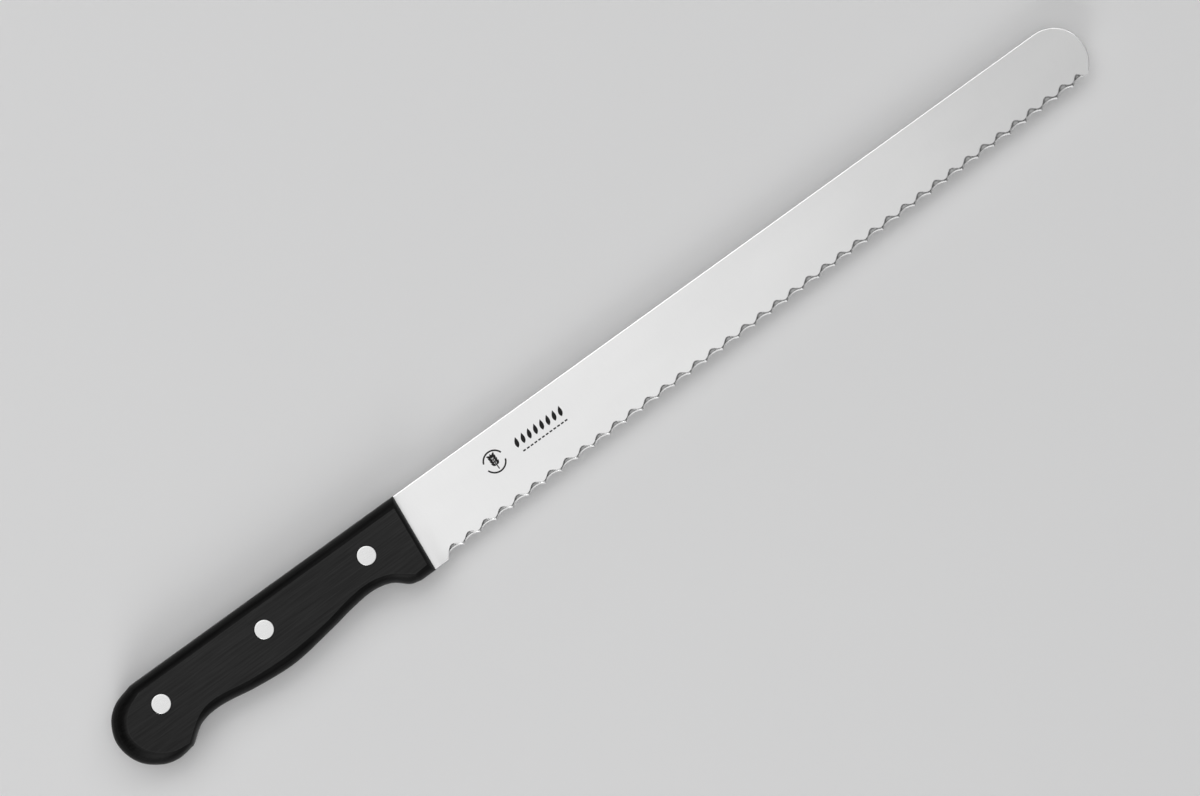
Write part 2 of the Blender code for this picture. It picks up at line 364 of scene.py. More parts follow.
def ring(bm, x, radius, height):
    """A circle of corners round a rivet's axis."""
    turns = [math.tau * i / TURN_STEPS for i in range(TURN_STEPS)]
    return [bm.verts.new((x + radius * math.cos(t), radius * math.sin(t), height))
            for t in turns]


def mark_worn(bm, corners):
    """Marks corners whose edges are rubbed by hands and cloths."""
    layer = bm.verts.layers.float.get(WORN) or bm.verts.layers.float.new(WORN)
    for corner in corners:
        corner[layer] = 1.0


def finished(bm, name, finishes, sharp_angle=SHARP_ANGLE):
    """Turns the drawing into a piece in metres, in its place, riding on the knife."""
    loose = [corner for corner in bm.verts if not corner.link_faces]
    bmesh.ops.delete(bm, geom=loose, context="VERTS")
    bmesh.ops.recalc_face_normals(bm, faces=bm.faces)
    for edge in bm.edges:
        if edge.calc_face_angle(0) > math.radians(sharp_angle):
            edge.smooth = False
    for face in bm.faces:
        face.smooth = True
    bm.transform(Matrix.Translation(ORIGIN) @ Matrix.Scale(MM, 4))
    mesh = bpy.data.meshes.new(name)
    bm.to_mesh(mesh)
    bm.free()
    piece = bpy.data.objects.new(name, mesh)
    bpy.context.scene.collection.objects.link(piece)
    for finish in finishes:
        mesh.materials.append(finish)
    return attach(piece, "root")


# ---------------------------------------------------------------- blade


def half_thickness(x, y):
    """The tang and spine are flat; ahead of the handle the sides taper to the edge."""
    share = ease((x - front_line_x(y)) / TAPER_RUN_OUT)
    return HALF_STEEL - TAPER * max(0.0, TAPER_START - y) * share


def scallop_place(x):
    """(place within its scallop, place along the blade), both from 0 to 1."""
    count = (x - FIRST_POINT[0]) / STEP_X
    return count % 1.0, clamp(count / SCALLOPS)


def arch(x):
    """Height of the cutting edge over the line through the points."""
    place, far = scallop_place(x)
    depth, half = along(DEPTH, far), PITCH / 2
    radius = (half**2 + depth**2) / (2 * depth)
    return math.sqrt(radius**2 - (half * (2 * place - 1)) ** 2) - (radius - depth)


def near_point(x):
    """1 at a scallop's point, falling to 0 in its arch."""
    return clamp(1 - arch(x) / along(DEPTH, scallop_place(x)[1]))


def edge_y(x):
    """The cutting edge: round arches that meet in points."""
    return FIRST_POINT[1] + (x - FIRST_POINT[0]) * math.tan(EDGE_RISE) + arch(x)


def rim_y(x):
    """The grooves' upper rim: a rounded wave above the edge."""
    place, far = scallop_place(x)
    points, tops = along(BAND_AT_POINTS, far), along(BAND_AT_TOPS, far)
    swing = along(DEPTH, far) + tops - points
    full = points + swing * (1 - math.cos(math.tau * place)) / 2 - arch(x)
    end = LAST_GROOVE + (1 - LAST_GROOVE) * ease((LAST_END - x) / LAST_FLANK)
    return edge_y(x) + full * ease((x - FIRST_POINT[0]) / FIRST_FLANK) * end


def tip_crossing(curve_y):
    """Where a row of the grooves runs out on the round tip."""
    low, high = TIP_X - TIP_SEARCH, TIP_X
    for _ in range(HALVINGS):
        x = (low + high) / 2
        reach = math.hypot(x - TIP_CENTRE[0], curve_y(x) - TIP_CENTRE[1])
        low, high = (x, high) if reach < TIP_RADIUS else (low, x)
    return low


def groove_row(x, part, width, drop):
    """(y, height) of a groove's row: part is "shoulder", "facet" or "edge"."""
    rim, edge, point = rim_y(x), edge_y(x), near_point(x)
    top = half_thickness(x, rim)
    fine = between(EDGE_THICKNESS, point) - half_thickness(x, edge)
    keen = min(KEEN, KEEN_SHARE * (rim - edge))
    if part == "edge":
        return edge + keen, min(fine, top)
    honed = min(between(HONED_WIDTH, point), HONED_SHARE * (rim - edge - keen))
    shoulder = min(SHOULDER, SHOULDER_SHARE * (rim - edge - keen - honed))
    low = min(fine + honed * HONED_SLOPE, top)
    step = (top - low) * SHOULDER_DROP
    if part == "shoulder":
        return rim - shoulder * width, top - step * drop
    facet = rim - edge - keen - honed - shoulder
    return rim - shoulder - facet * width, top - step - (top - step - low) * drop


def groove_rows(bm):
    """Rows of corners from the rim to the cutting edge, and the left side's edge row."""
    last_x = FIRST_POINT[0] + (SCALLOPS - 1) * STEP_X
    steady = [FIRST_POINT[0] + STEP_X * i / SCALLOP_STEPS
              for i in range((SCALLOPS - 1) * SCALLOP_STEPS)]

    def row(place):
        end_x = tip_crossing(lambda x: place(x)[0])
        xs = steady + [last_x + (end_x - last_x) * i / SCALLOP_STEPS
                       for i in range(SCALLOP_STEPS + 1)]
        return [bm.verts.new((x, *place(x))) for x in xs]

    kinds = [("shoulder", *shares) for shares in SHOULDER_ROWS]
    kinds += [("facet", *shares) for shares in FACET_ROWS] + [("edge", 0, 0)]
    rows = [row(lambda x, kind=kind: groove_row(x, *kind)) for kind in kinds]
    left = row(lambda x: (edge_y(x), -half_thickness(x, edge_y(x))))
    return rows, left


def outline_above(rows):
    """The steel's outline from the tip's corner over the spine and round the butt to the heel.

    It starts with the places where the groove rows run out on the tip.
    """
    run_out = [row[-1].co.xy for row in reversed(rows)]
    start = rows[0][-1].co
    lowest = math.asin((start.y - TIP_CENTRE[1]) / TIP_RADIUS)
    tip = arc(TIP_CENTRE, TIP_RADIUS, lowest, math.pi / 2, TIP_STEPS)[1:]
    top = (BUTT[-1][0][0], SPINE_Y)
    handle_top = (front_line_x(SPINE_Y), SPINE_Y)
    spine = straight_run(tip[-1], handle_top, SPINE_STEPS)[1:]
    spine += straight_run(handle_top, top, HANDLE_TOP_STEPS)[1:-1]
    round_butt = list(reversed(handle_edge(0)))
    slant = (HEEL[0] + HEEL_FLAT, HEEL[1])
    heel = straight_run(round_butt[-1], slant, HEEL_STEPS)[1:]
    heel += straight_run(slant, FIRST_POINT, SLANT_STEPS)[1:]
    plain = tip + spine + round_butt + heel
    return [tuple(point) for point in run_out], plain


def inward(points, reach=1.0, closed=False):
    """Moves of one length towards the left of a run of points."""
    made, last = [], len(points) - 1
    for i in range(len(points)):
        before = points[i - 1 if closed else max(i - 1, 0)]
        after = points[(i + 1) % len(points) if closed else min(i + 1, last)]
        step = Vector((after[0] - before[0], after[1] - before[1])).normalized()
        made.append(Vector((-step.y, step.x)) * reach)
    return made


def break_width(x, y, near_end):
    """How far an edge is rounded: fine on the tang, wider on the blade, none at its ends."""
    ahead = ease((x - front_line_x(y) + BREAK_BEHIND) / BREAK_RUN)
    return (HIDDEN_BREAK + (EDGE_BREAK - HIDDEN_BREAK) * ahead) * near_end


def broken_edge(bm, points, first, last, side):
    """Rows of corners that round the outline's edge on one side, from wall to face.

    All rows share the given first and last corners.
    """
    directions = inward(points)
    rows = []
    for step in range(BREAK_STEPS + 1):
        turn = math.pi / 2 * step / BREAK_STEPS
        row = [first]
        for i in range(1, len(points) - 1):
            x, y = points[i]
            near_end = ease(min(i, len(points) - 1 - i) / BREAK_RUN_IN)
            width = break_width(x, y, near_end)
            moved = Vector((x, y)) + directions[i] * width * (1 - math.cos(turn))
            height = half_thickness(x, y) - width * BREAK_FALL * (1 - math.sin(turn))
            row.append(bm.verts.new((moved.x, moved.y, side * height)))
        rows.append(row + [last])
    return rows


def face_points():
    """Loose points that carry the taper over the blade's faces."""
    made = []
    x = FACE_START
    while x < TIP_X:
        for y in FACE_ROWS:
            from_tip = math.hypot(max(0, x - TIP_CENTRE[0]), y - TIP_CENTRE[1])
            off_edge = x <= FIRST_POINT[0] or y > edge_y(x) + EDGE_MARGIN
            in_tip = x < TIP_CENTRE[0] or from_tip < TIP_RADIUS - FACE_MARGIN
            off_rivets = all(abs(math.hypot(x - at, y) - TUBE_RADIUS) > FACE_MARGIN
                             for at in RIVETS.values())
            if off_edge and in_tip and off_rivets:
                made.append((x + ROW_SLANT * y, y))
        x += FINE_STEP if FINE_STRETCH[0] < x < FINE_STRETCH[1] else FACE_STEP
    return made


def blade_faces(bm, right_loop, left_loop):
    """Both faces of the steel, with the rivets' holes through the tang."""
    narrow = TUBE_RADIUS + HOLE_CLEARANCE
    holes = {side: [ring(bm, x, narrow, side * HALF_STEEL) for x in RIVETS.values()]
             for side in (1, -1)}
    for upper, lower in zip(holes[1], holes[-1]):
        bridge(bm, upper, lower, closed=True)
        crease(bm, upper, closed=True)
        crease(bm, lower, closed=True)
    fill(bm, [right_loop] + holes[1], face_points(), half_thickness)
    fill(bm, [left_loop] + holes[-1], face_points(), lambda x, y: -half_thickness(x, y))


def make_blade(steel, ground, honed, polished_with_painted_highlight):
    """The blade and tang in one piece, ground from the right side."""
    bm = bmesh.new()
    rows, left_edge = groove_rows(bm)
    run_out, plain = outline_above(rows)
    heel_corner, rim_corner = rows[0][0], rows[0][-1]

    # right side, from the rim's end on the tip round to the heel
    right_points = [run_out[-1]] + plain
    right_break = broken_edge(bm, right_points, rim_corner, heel_corner, 1)
    left_points = run_out + plain
    left_break = broken_edge(bm, left_points, left_edge[-1], left_edge[0], -1)
    for breaks in (right_break, left_break):
        for low, high in zip(breaks, breaks[1:]):
            bridge(bm, low, high, finish=POLISHED_WITH_PAINTED_HIGHLIGHT)

    # the wall round the outline, and the fine edge under the grooves
    run_out_corners = [row[-1] for row in reversed(rows)]
    wall_top = run_out_corners + right_break[0][1:]
    wall_low = left_break[0]
    bridge(bm, wall_top[:-1], wall_low[:-1], finish=SATIN)
    heel_column = [row[0] for row in rows]
    bm.faces.new([wall_top[-2], *heel_column, wall_low[-1], wall_low[-2]])
    bridge(bm, rows[-1], left_edge, finish=HONED)

    # the ground grooves and the honed edge
    for low, high in zip(rows, rows[1:-1]):
        bridge(bm, low, high, finish=GROUND)
    bridge(bm, rows[-2], rows[-1], finish=HONED)

    blade_faces(bm, rows[0] + right_break[-1][1:-1], left_edge + left_break[-1][1:-1])

    for row in (rows[0], rows[-2], rows[-1], left_edge, right_break[-1], left_break[-1]):
        crease(bm, row)
    for place in range(SCALLOPS):
        at = place * SCALLOP_STEPS
        crease(bm, [row[at] for row in rows])
    piece = finished(bm, "satin_blade_and_tang", [steel, ground, honed, polished_with_painted_highlight])
    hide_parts("blade")


# ---------------------------------------------------------------- handle


def make_scale(name, node, side, wood):
    """One handle scale: upright side, rounded shoulder, crisp flat, stepped rivet holes."""
    outer = [HEEL] + handle_edge(0) + straight_run(
        (front_line_x(SPINE_Y), SPINE_Y), HEEL, FRONT_STEPS)[:-1]
    flat = [FLAT_FRONT_FOOT] + handle_edge(1) + straight_run(
        FLAT_FRONT_TOP, FLAT_FRONT_FOOT, FRONT_STEPS)[:-1]
    shoulder = SCALE_INNER + SIDE_HEIGHT
    bm = bmesh.new()
    bm.verts.layers.float.new(WORN)
    levels = [(0.0, SCALE_INNER), (0.0, (SCALE_INNER + shoulder) / 2)]
    for i in range(ROUND_STEPS + 1):
        turn = ROUND_END * i / ROUND_STEPS
        inwards = (1 - math.cos(turn)) / (1 - math.cos(ROUND_END))
        rise = math.sin(turn) / math.sin(ROUND_END)
        levels.append((inwards, shoulder + (SCALE_OUTER - shoulder) * rise))
    rings = [[bm.verts.new((x + (fx - x) * inwards, y + (fy - y) * inwards, side * height))
              for (x, y), (fx, fy) in zip(outer, flat)]
             for inwards, height in levels]
    rings.append([bm.verts.new((x + move.x, y + move.y, side * SCALE_OUTER))
                  for (x, y), move in zip(flat, inward(flat, -INSET, closed=True))])
    for low, high in zip(rings, rings[1:]):
        bridge(bm, low, high, closed=True)

    wide, narrow = HEAD_RADIUS + HOLE_CLEARANCE, TUBE_RADIUS + HOLE_CLEARANCE
    mouths, backs = [], []
    for x in RIVETS.values():
        steps = ((wide + INSET, SCALE_OUTER), (wide + MOUTH_BREAK, SCALE_OUTER),
                 (wide, SCALE_OUTER - MOUTH_BREAK), (wide, COUNTERBORE),
                 (narrow, COUNTERBORE), (narrow, SCALE_INNER))
        turned = [ring(bm, x, radius, side * height) for radius, height in steps]
        for low, high in zip(turned, turned[1:]):
            bridge(bm, low, high, closed=True)
        mark_worn(bm, turned[1])
        mouths.append(turned[0])
        backs.append(turned[-1])
    fill(bm, [rings[-1]] + mouths, [], lambda x, y: side * SCALE_OUTER)
    fill(bm, [rings[0]] + backs, [], lambda x, y: side * SCALE_INNER)
    mark_worn(bm, rings[-2])
    crease(bm, rings[-2], closed=True)
    crease(bm, rings[0], closed=True)
    for back in backs:
        crease(bm, back, closed=True)
    piece = finished(bm, name, [wood])
    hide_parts(node)


# ---------------------------------------------------------------- rivets


def turned_piece(name, node, x, side, profile, finish):
    """A turned rivet half from (radius, height) steps, closed on its axis at both ends."""
    bm = bmesh.new()
    bm.verts.layers.float.new(WORN)
    rings = [ring(bm, x, radius, side * height) for radius, height in profile[1:-1]]
    for rim in rings[WORN_RINGS]:
        mark_worn(bm, rim)
    for low, high in zip(rings, rings[1:]):
        bridge(bm, low, high, closed=True)
    for (_, height), end in ((profile[0], rings[0]), (profile[-1], rings[-1])):
        middle = bm.verts.new((x, 0, side * height))
        for i in range(len(end)):
            bm.faces.new((middle, end[i - 1], end[i]))
    piece = finished(bm, name, [finish], RIVET_SHARP_ANGLE)
    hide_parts(node)


def head_profile():
    """The head's crowned face and softly broken rim, from its middle outwards."""
    face, flat = SCALE_OUTER - HEAD_SUNK, HEAD_RADIUS - HEAD_RIM
    steps = [(flat * s, face + CROWN * (1 - s * s)) for s in HEAD_STEPS]
    for i in range(1, RIM_STEPS + 1):
        turn = math.radians(RIM_START + (90 - RIM_START) * i / RIM_STEPS)
        steps.append((flat + HEAD_RIM * math.sin(turn), face - HEAD_RIM * (1 - math.cos(turn))))
    return steps


def make_rivets(finish):
    """Three rivets, each a solid half with a pin and a hollow half that it is driven into."""
    under = SCALE_OUTER - HEAD_SUNK - HEAD_THICKNESS
    pin_end, mouth = PIN_SHORT - under, BORE_FLOOR - under
    bore, floor = PIN_RADIUS + PIN_CLEARANCE, under - BORE_FLOOR
    pin = head_profile() + [
        (HEAD_RADIUS, under), (PIN_RADIUS, under), (PIN_RADIUS, pin_end + PIN_CHAMFER),
        (PIN_RADIUS - PIN_CHAMFER, pin_end), (0, pin_end)]
    tube = head_profile() + [
        (HEAD_RADIUS, under), (TUBE_RADIUS, under), (TUBE_RADIUS, mouth), (bore, mouth),
        (bore, floor), (0, floor)]
    for place, x in RIVETS.items():
        turned_piece(f"{place}_rivet_right_half", f"{place}_rivet_pin", x, 1, pin, finish)
        turned_piece(f"{place}_rivet_left_half", f"{place}_rivet_tube", x, -1, tube, finish)


# ---------------------------------------------------------------- etched ornament


def etched_shape(bm, outline):
    """A thin closed shape that lies in the blade's right face."""
    tops = [bm.verts.new((x, y, half_thickness(x, y) + ETCH_PROUD)) for x, y in outline]
    lows = [bm.verts.new((x, y, half_thickness(x, y) - 2 * ETCH_PROUD)) for x, y in outline]
    bm.faces.new(tops)
    bm.faces.new(lows)
    bridge(bm, lows, tops, closed=True)


def grain_outline(x, y, size, turn):
    """A pointed grain of wheat, drawn from its foot at (x, y) in the direction turn."""
    length, width = size
    out, across = (Vector((math.cos(turn + a), math.sin(turn + a))) for a in (0, math.pi / 2))
    foot = Vector((x, y))
    shape = []
    for sign, steps in ((1, range(GRAIN_STEPS + 1)), (-1, range(GRAIN_STEPS - 1, 0, -1))):
        for i in steps:
            share = i / GRAIN_STEPS
            bulge = math.sin(math.pi * share**GRAIN_FULLNESS) * width / 2 * sign
            shape.append(tuple(foot + out * length * share + across * bulge))
    return shape


def bar(x, y, length, width):
    return [(x + length / 2 * i, y + width / 2 * j)
            for i, j in ((-1, -1), (1, -1), (1, 1), (-1, 1))]


def make_emblem(etch):
    """A wheat ear in a broken ring: a plain baker's ornament."""
    x, y = EMBLEM
    outer, inner = EMBLEM_RING
    bm = bmesh.new()
    for degrees in EMBLEM_ARCS:
        start, end = (math.radians(angle) for angle in degrees)
        etched_shape(bm, arc(EMBLEM, outer, start, end, EMBLEM_STEPS)
                     + arc(EMBLEM, inner, end, start, EMBLEM_STEPS))
    etched_shape(bm, bar(x, y - STALK_DROP, *STALK))
    for i in range(EAR_PAIRS):
        foot = y - EAR_FOOT + EAR_STEP * i
        for lean in (-1, 1):
            turn = math.radians(90 - EAR_LEAN * lean)
            etched_shape(bm, grain_outline(x + EAR_SPREAD * lean, foot, EAR_GRAIN, turn))
    etched_shape(bm, grain_outline(x, y + TOP_GRAIN_RISE, TOP_GRAIN, math.pi / 2))
    piece = finished(bm, "etched_wheat_emblem", [etch])


def make_ornament_bars(etch):
    """A row of slanted grains over a fine row of dashes, beside the emblem."""
    bm = bmesh.new()
    for i in range(GRAINS):
        x, y = FIRST_GRAIN
        etched_shape(bm, grain_outline(x + GRAIN_STEP * i, y, ROW_GRAIN, ROW_GRAIN_TURN))
    for i in range(DASHES):
        x, y = FIRST_DASH
        etched_shape(bm, bar(x + DASH_STEP * i, y, *DASH))
    piece = finished(bm, "etched_ornament_bars", [etch])


# ---------------------------------------------------------------- shader node groups


def node_group(name, inputs, outputs):
    """An empty group with named inputs (name, default) and outputs (name, kind)."""
    group = bpy.data.node_groups.new(name, "ShaderNodeTree")
    for label, default in inputs:
        socket = group.interface.new_socket(label, in_out="INPUT", socket_type="NodeSocketFloat")
        socket.default_value = default
    for label, kind in outputs:
        group.interface.new_socket(label, in_out="OUTPUT", socket_type=kind)
    return group, group.nodes.new("NodeGroupInput"), group.nodes.new("NodeGroupOutput")


def maths(tree, operation, first, second=None, clamped=False):
    """A Math node; each value is a socket or a number."""
    made = tree.nodes.new("ShaderNodeMath")
    made.operation = operation
    made.use_clamp = clamped
    for socket, value in zip(made.inputs, (first, second)):
        if value is None:
            continue
        if isinstance(value, (int, float)):
            socket.default_value = value
        else:
            tree.links.new(value, socket)
    return made.outputs[0]


def stretched_lines_group():
    """Fine lines: noise stretched by its own scale along each axis, centred on 0."""
    group, given, taken = node_group(
        "stretched_lines",
        [("Per Metre X", 100), ("Per Metre Y", 100), ("Per Metre Z", 100), ("Detail", 2)],
        [("Lines", "NodeSocketFloat")])
    place = group.nodes.new("ShaderNodeTexCoord")
    scales = group.nodes.new("ShaderNodeCombineXYZ")
    for i, axis in enumerate("XYZ"):
        group.links.new(given.outputs[f"Per Metre {axis}"], scales.inputs[i])
    stretch = group.nodes.new("ShaderNodeVectorMath")
    stretch.operation = "MULTIPLY"
    group.links.new(place.outputs["Object"], stretch.inputs[0])
    group.links.new(scales.outputs[0], stretch.inputs[1])
    noise = group.nodes.new("ShaderNodeTexNoise")
    noise.inputs["Scale"].default_value = 1.0
    group.links.new(stretch.outputs[0], noise.inputs["Vector"])
    group.links.new(given.outputs["Detail"], noise.inputs["Detail"])
    centred = maths(group, "SUBTRACT", noise.outputs["Fac"], 0.5)
    group.links.new(maths(group, "MULTIPLY", centred, 2.0), taken.inputs["Lines"])
    return group


def worn_edges_group():
    """A mask of the edges marked as worn on the piece, broken up by fine noise."""
    group, given, taken = node_group(
        "worn_edges", [("Strength", 1.0), ("Breakup", 0.5)], [("Wear", "NodeSocketFloat")])
    marked = group.nodes.new("ShaderNodeAttribute")
    marked.attribute_name = WORN
    place = group.nodes.new("ShaderNodeTexCoord")
    noise = group.nodes.new("ShaderNodeTexNoise")
    noise.inputs["Scale"].default_value = 900
    noise.inputs["Detail"].default_value = 3
    group.links.new(place.outputs["Object"], noise.inputs["Vector"])
    rough = maths(group, "MULTIPLY", noise.outputs["Fac"], given.outputs["Breakup"])
    left = maths(group, "SUBTRACT", marked.outputs["Fac"], rough, clamped=True)
    group.links.new(maths(group, "MULTIPLY", left, given.outputs["Strength"]),
                    taken.inputs["Wear"])
    return group


LINES = stretched_lines_group()
WEAR = worn_edges_group()


def place_group(tree, group, **values):
    """A copy of a group in a material, with its own values. Names use _ for a space."""
    made = tree.nodes.new("ShaderNodeGroup")
    made.node_tree = group
    for label, value in values.items():
        made.inputs[label.replace("_", " ")].default_value = value
    return made.outputs[0]


def blend_colours(tree, share, first, second):
    mix = tree.nodes.new("ShaderNodeMix")
    mix.data_type = "RGBA"
    colour_sockets = [s for s in mix.inputs if s.type == "RGBA"]
    tree.links.new(share, mix.inputs["Factor"])
    for socket, colour in zip(colour_sockets, (first, second)):
        if isinstance(colour, tuple):
            socket.default_value = (*colour, 1)
        else:
            tree.links.new(colour, socket)
    return next(s for s in mix.outputs if s.type == "RGBA")


def new_material(name, metallic, roughness):
    made = bpy.data.materials.new(name)
    made.use_nodes = True
    shader = made.node_tree.nodes["Principled BSDF"]
    shader.inputs["Metallic"].default_value = metallic
    shader.inputs["Roughness"].default_value = roughness
    return made, made.node_tree, shader


def raise_surface(tree, shader, height, distance, strength=1.0):
    bump = tree.nodes.new("ShaderNodeBump")
    bump.inputs["Distance"].default_value = distance
    bump.inputs["Strength"].default_value = strength
    tree.links.new(height, bump.inputs["Height"])
    tree.links.new(bump.outputs["Normal"], shader.inputs["Normal"])


def about(tree, value, middle, reach):
    """A value around middle, from one around 0."""
    scaled = maths(tree, "MULTIPLY", value, reach)
    return maths(tree, "ADD", scaled, middle, clamped=True)


# ---------------------------------------------------------------- finishes


def satin_steel():
    """The blade's faces: near-white satin with hair-fine lines from spine to edge."""
    made, tree, shader = new_material("satin_steel", 1.0, 0.3)
    hairs = place_group(tree, LINES, Per_Metre_X=9000, Per_Metre_Y=120, Per_Metre_Z=120, Detail=3)
    clouds = place_group(tree, LINES, Per_Metre_X=24, Per_Metre_Y=60, Per_Metre_Z=60, Detail=2)
    both = maths(tree, "ADD", clouds, maths(tree, "MULTIPLY", hairs, 0.8))
    tone = about(tree, both, 0.5, 0.6)
    colour = blend_colours(tree, tone, (0.80, 0.80, 0.80), (0.86, 0.86, 0.858))
    tree.links.new(colour, shader.inputs["Base Color"])
    tree.links.new(about(tree, hairs, 0.31, 0.05), shader.inputs["Roughness"])
    raise_surface(tree, shader, hairs, 0.000002, 0.3)
    return made


def ground_steel():
    """The grooves: coarser wheel lines that run down each groove."""
    made, tree, shader = new_material("ground_steel", 1.0, 0.26)
    wheel = place_group(tree, LINES, Per_Metre_X=6000, Per_Metre_Y=150, Per_Metre_Z=150, Detail=4)
    tone = about(tree, wheel, 0.5, 0.8)
    colour = blend_colours(tree, tone, (0.60, 0.60, 0.60), (0.76, 0.76, 0.76))
    tree.links.new(colour, shader.inputs["Base Color"])
    tree.links.new(about(tree, wheel, 0.27, 0.12), shader.inputs["Roughness"])
    raise_surface(tree, shader, wheel, 0.00001, 0.6)
    return made


def honed_steel():
    """The narrow honed edge: brighter and smoother than the grooves."""
    made, tree, shader = new_material("honed_steel", 1.0, 0.2)
    stone = place_group(tree, LINES, Per_Metre_X=7000, Per_Metre_Y=500, Per_Metre_Z=500, Detail=2)
    colour = blend_colours(tree, about(tree, stone, 0.5, 0.5), (0.79, 0.79, 0.79),
                           (0.85, 0.85, 0.85))
    tree.links.new(colour, shader.inputs["Base Color"])
    tree.links.new(about(tree, stone, 0.27, 0.08), shader.inputs["Roughness"])
    return made


def polished_steel_with_painted_highlight():
    """The rounded spine and tip: buffed smoother than the satin faces, and painted brighter than
    them as a painted highlight along the spine and round the tip.
    """
    made, tree, shader = new_material("polished_steel_with_painted_highlight", 1.0, 0.22)
    buff = place_group(tree, LINES, Per_Metre_X=300, Per_Metre_Y=300, Per_Metre_Z=4000, Detail=2)
    # painted highlight: a lighter colour than the satin faces' gives the bright line along the
    # spine and round the tip; the lower roughness is the real polish
    colour = blend_colours(tree, about(tree, buff, 0.5, 0.6), (0.93, 0.93, 0.93),
                           (0.97, 0.97, 0.97))
    tree.links.new(colour, shader.inputs["Base Color"])
    tree.links.new(about(tree, buff, 0.24, 0.08), shader.inputs["Roughness"])
    return made


def black_laminate():
    """Black laminated wood: faint lengthwise grain, thin layers on the sides, worn crests, and
    flats painted paler than the rounded sides as painted light.
    """
    made, tree, shader = new_material("black_laminated_wood", 0.0, 0.45)
    shader.inputs["Specular IOR Level"].default_value = 0.1
    grain = place_group(tree, LINES, Per_Metre_X=70, Per_Metre_Y=2200, Per_Metre_Z=1400, Detail=4)
    pores = place_group(tree, LINES, Per_Metre_X=220, Per_Metre_Y=5200, Per_Metre_Z=4200, Detail=2)
    layers = place_group(tree, LINES, Per_Metre_X=8, Per_Metre_Y=12, Per_Metre_Z=1600, Detail=1)
    wear = place_group(tree, WEAR, Strength=0.3, Breakup=0.7)
    upright = tree.nodes.new("ShaderNodeSeparateXYZ")
    place = tree.nodes.new("ShaderNodeTexCoord")
    tree.links.new(place.outputs["Normal"], upright.inputs[0])
    facing = maths(tree, "ABSOLUTE", upright.outputs["Z"])
    # painted light: faces that look straight out get a paler colour than the rounded sides,
    # standing in for the light that the flats catch
    painted_lit_flats = maths(tree, "MULTIPLY", maths(tree, "SUBTRACT", facing, LIT_FLAT_FROM),
                   LIT_FLAT_CRISPNESS, clamped=True)
    fibres = maths(tree, "ADD", maths(tree, "MULTIPLY", grain, 0.8),
                   maths(tree, "MULTIPLY", layers, 0.8))
    colour = blend_colours(tree, about(tree, fibres, 0.4, 1.1), (0.0015, 0.0015, 0.0015),
                           (0.009, 0.009, 0.009))
    # the paler colour of the painted light on the flats
    pale = blend_colours(tree, about(tree, fibres, 0.45, 0.9), (0.014, 0.014, 0.014),
                         (0.035, 0.035, 0.035))
    colour = blend_colours(tree, painted_lit_flats, colour, pale)
    colour = blend_colours(tree, wear, colour, (0.06, 0.06, 0.06))
    tree.links.new(colour, shader.inputs["Base Color"])
    tree.links.new(about(tree, grain, 0.4, 0.16), shader.inputs["Roughness"])
    rough = maths(tree, "ADD", maths(tree, "MULTIPLY", grain, 0.6), pores)
    raise_surface(tree, shader, rough, 0.00003, 0.5)
    return made


def sanded_rivet_steel():
    """Rivet heads: sanded flush, so their lines run along the handle."""
    made, tree, shader = new_material("rivet_steel", 1.0, 0.3)
    sanding = place_group(tree, LINES, Per_Metre_X=350, Per_Metre_Y=9000, Per_Metre_Z=500,
                          Detail=3)
    wear = place_group(tree, WEAR, Strength=0.9, Breakup=0.3)
    colour = blend_colours(tree, about(tree, sanding, 0.5, 0.7), (0.70, 0.70, 0.70),
                           (0.78, 0.78, 0.78))
    colour = blend_colours(tree, wear, colour, (0.88, 0.88, 0.88))
    tree.links.new(colour, shader.inputs["Base Color"])
    tree.links.new(about(tree, sanding, 0.3, 0.12), shader.inputs["Roughness"])
    raise_surface(tree, shader, sanding, 0.000005, 0.5)
    return made


def dark_etch():
    """Etched ornament: matt black oxide with a slightly uneven bite."""
    made, tree, shader = new_material("dark_etch", 0.0, 0.6)
    bite = place_group(tree, LINES, Per_Metre_X=2500, Per_Metre_Y=2500, Per_Metre_Z=2500,
                       Detail=3)
    colour = blend_colours(tree, about(tree, bite, 0.4, 0.9), (0.004, 0.004, 0.004),
                           (0.02, 0.02, 0.02))
    shader.inputs["Specular IOR Level"].default_value = 0.25
    tree.links.new(colour, shader.inputs["Base Color"])
    tree.links.new(about(tree, bite, 0.6, 0.15), shader.inputs["Roughness"])
    return made


def pale_floor_paint():
    made, tree, shader = new_material("pale_floor", 0.0, 0.85)
    mottle = place_group(tree, LINES, Per_Metre_X=5, Per_Metre_Y=5, Per_Metre_Z=5, Detail=3)
    colour = blend_colours(tree, about(tree, mottle, 0.5, 0.3), (0.87, 0.87, 0.875),
                           (0.9, 0.9, 0.9))
    tree.links.new(colour, shader.inputs["Base Color"])
    return made


# ---------------------------------------------------------------- studio


def make_floor():
    bm = bmesh.new()
    places = [FLOOR_REACH * (2 * i / FLOOR_STEPS - 1) for i in range(FLOOR_STEPS + 1)]
    grid = [[bm.verts.new((x, y, 0)) for x in places] for y in places]
    for low, high in zip(grid, grid[1:]):
        bridge(bm, low, high)
    mesh = bpy.data.meshes.new("floor")
    bm.to_mesh(mesh)
    bm.free()
    floor = bpy.data.objects.new("floor", mesh)
    mesh.materials.append(pale_floor_paint())
    bpy.context.scene.collection.objects.link(floor)


def aimed(thing, where, target):
    thing.location = where
    thing.rotation_mode = "QUATERNION"
    thing.rotation_quaternion = (Vector(target) - Vector(where)).to_track_quat("-Z", "Y")


def make_softbox(name, where, target, size, energy):
    light = bpy.data.lights.new(name, "AREA")
    light.shape = "RECTANGLE"
    light.size, light.size_y = size
    light.energy = energy
    box = bpy.data.objects.new(name, light)
    bpy.context.scene.collection.objects.link(box)
    aimed(box, where, target)
    box.visible_camera = False


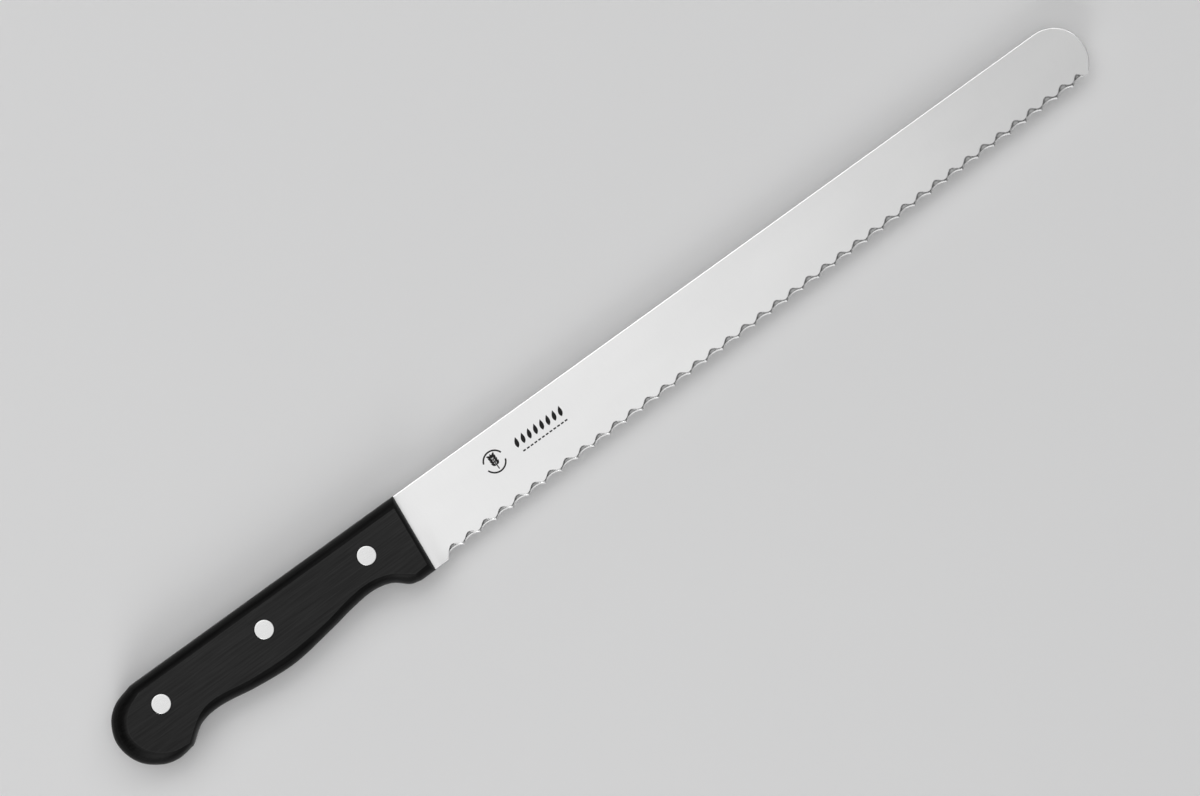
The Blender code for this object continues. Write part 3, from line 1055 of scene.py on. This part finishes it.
def make_lights():
    world = bpy.data.worlds.new("studio")
    bpy.context.scene.world = world
    world.use_nodes = True
    tree = world.node_tree
    place = tree.nodes.new("ShaderNodeTexCoord")
    axes = tree.nodes.new("ShaderNodeSeparateXYZ")
    tree.links.new(place.outputs["Generated"], axes.inputs[0])
    room = tree.nodes.new("ShaderNodeValToRGB")
    stops = room.color_ramp
    stops.interpolation = "EASE"
    while len(stops.elements) < len(ROOM_LIGHT):
        stops.elements.new(0.5)
    for stop, (height, light) in zip(stops.elements, ROOM_LIGHT):
        stop.position = height
        stop.color = (light, light, light, 1)
    tree.links.new(axes.outputs["Z"], room.inputs["Fac"])
    path = tree.nodes.new("ShaderNodeLightPath")
    seen = tree.nodes.new("ShaderNodeMix")
    tree.links.new(path.outputs["Is Camera Ray"], seen.inputs["Factor"])
    tree.links.new(room.outputs["Color"], seen.inputs["A"])
    seen.inputs["B"].default_value = BACKDROP
    sky = tree.nodes["Background"]
    tree.links.new(seen.outputs["Result"], sky.inputs["Strength"])
    sky.inputs["Color"].default_value = (1, 1, 1, 1)
    for softbox in SOFTBOXES:
        make_softbox(*softbox)


def make_camera():
    lens = bpy.data.cameras.new("camera")
    lens.lens = CAMERA_LENS
    lens.sensor_width = CAMERA_SENSOR
    lens.clip_start, lens.clip_end = CAMERA_CLIP
    camera = bpy.data.objects.new("camera", lens)
    bpy.context.scene.collection.objects.link(camera)
    where = ORIGIN + Vector(CAMERA_AT) * MM
    target = ORIGIN + Vector(CAMERA_TARGET) * MM
    back = (where - target).normalized()
    right = Vector((math.cos(CAMERA_TURN), math.sin(CAMERA_TURN), 0))
    right = (right - back * right.dot(back)).normalized()
    camera.matrix_world = Matrix.Translation(where) @ Matrix(
        (right, back.cross(right), back)).transposed().to_4x4()
    bpy.context.scene.camera = camera


def main():
    bpy.context.scene.view_settings.view_transform = "Standard"
    make_blade(satin_steel(), ground_steel(), honed_steel(), polished_steel_with_painted_highlight())
    wood = black_laminate()
    make_scale("right_handle_scale", "right_scale", 1, wood)
    make_scale("left_handle_scale", "left_scale", -1, wood)
    make_rivets(sanded_rivet_steel())
    etch = dark_etch()
    make_emblem(etch)
    make_ornament_bars(etch)
    make_floor()
    make_lights()
    make_camera()


main()
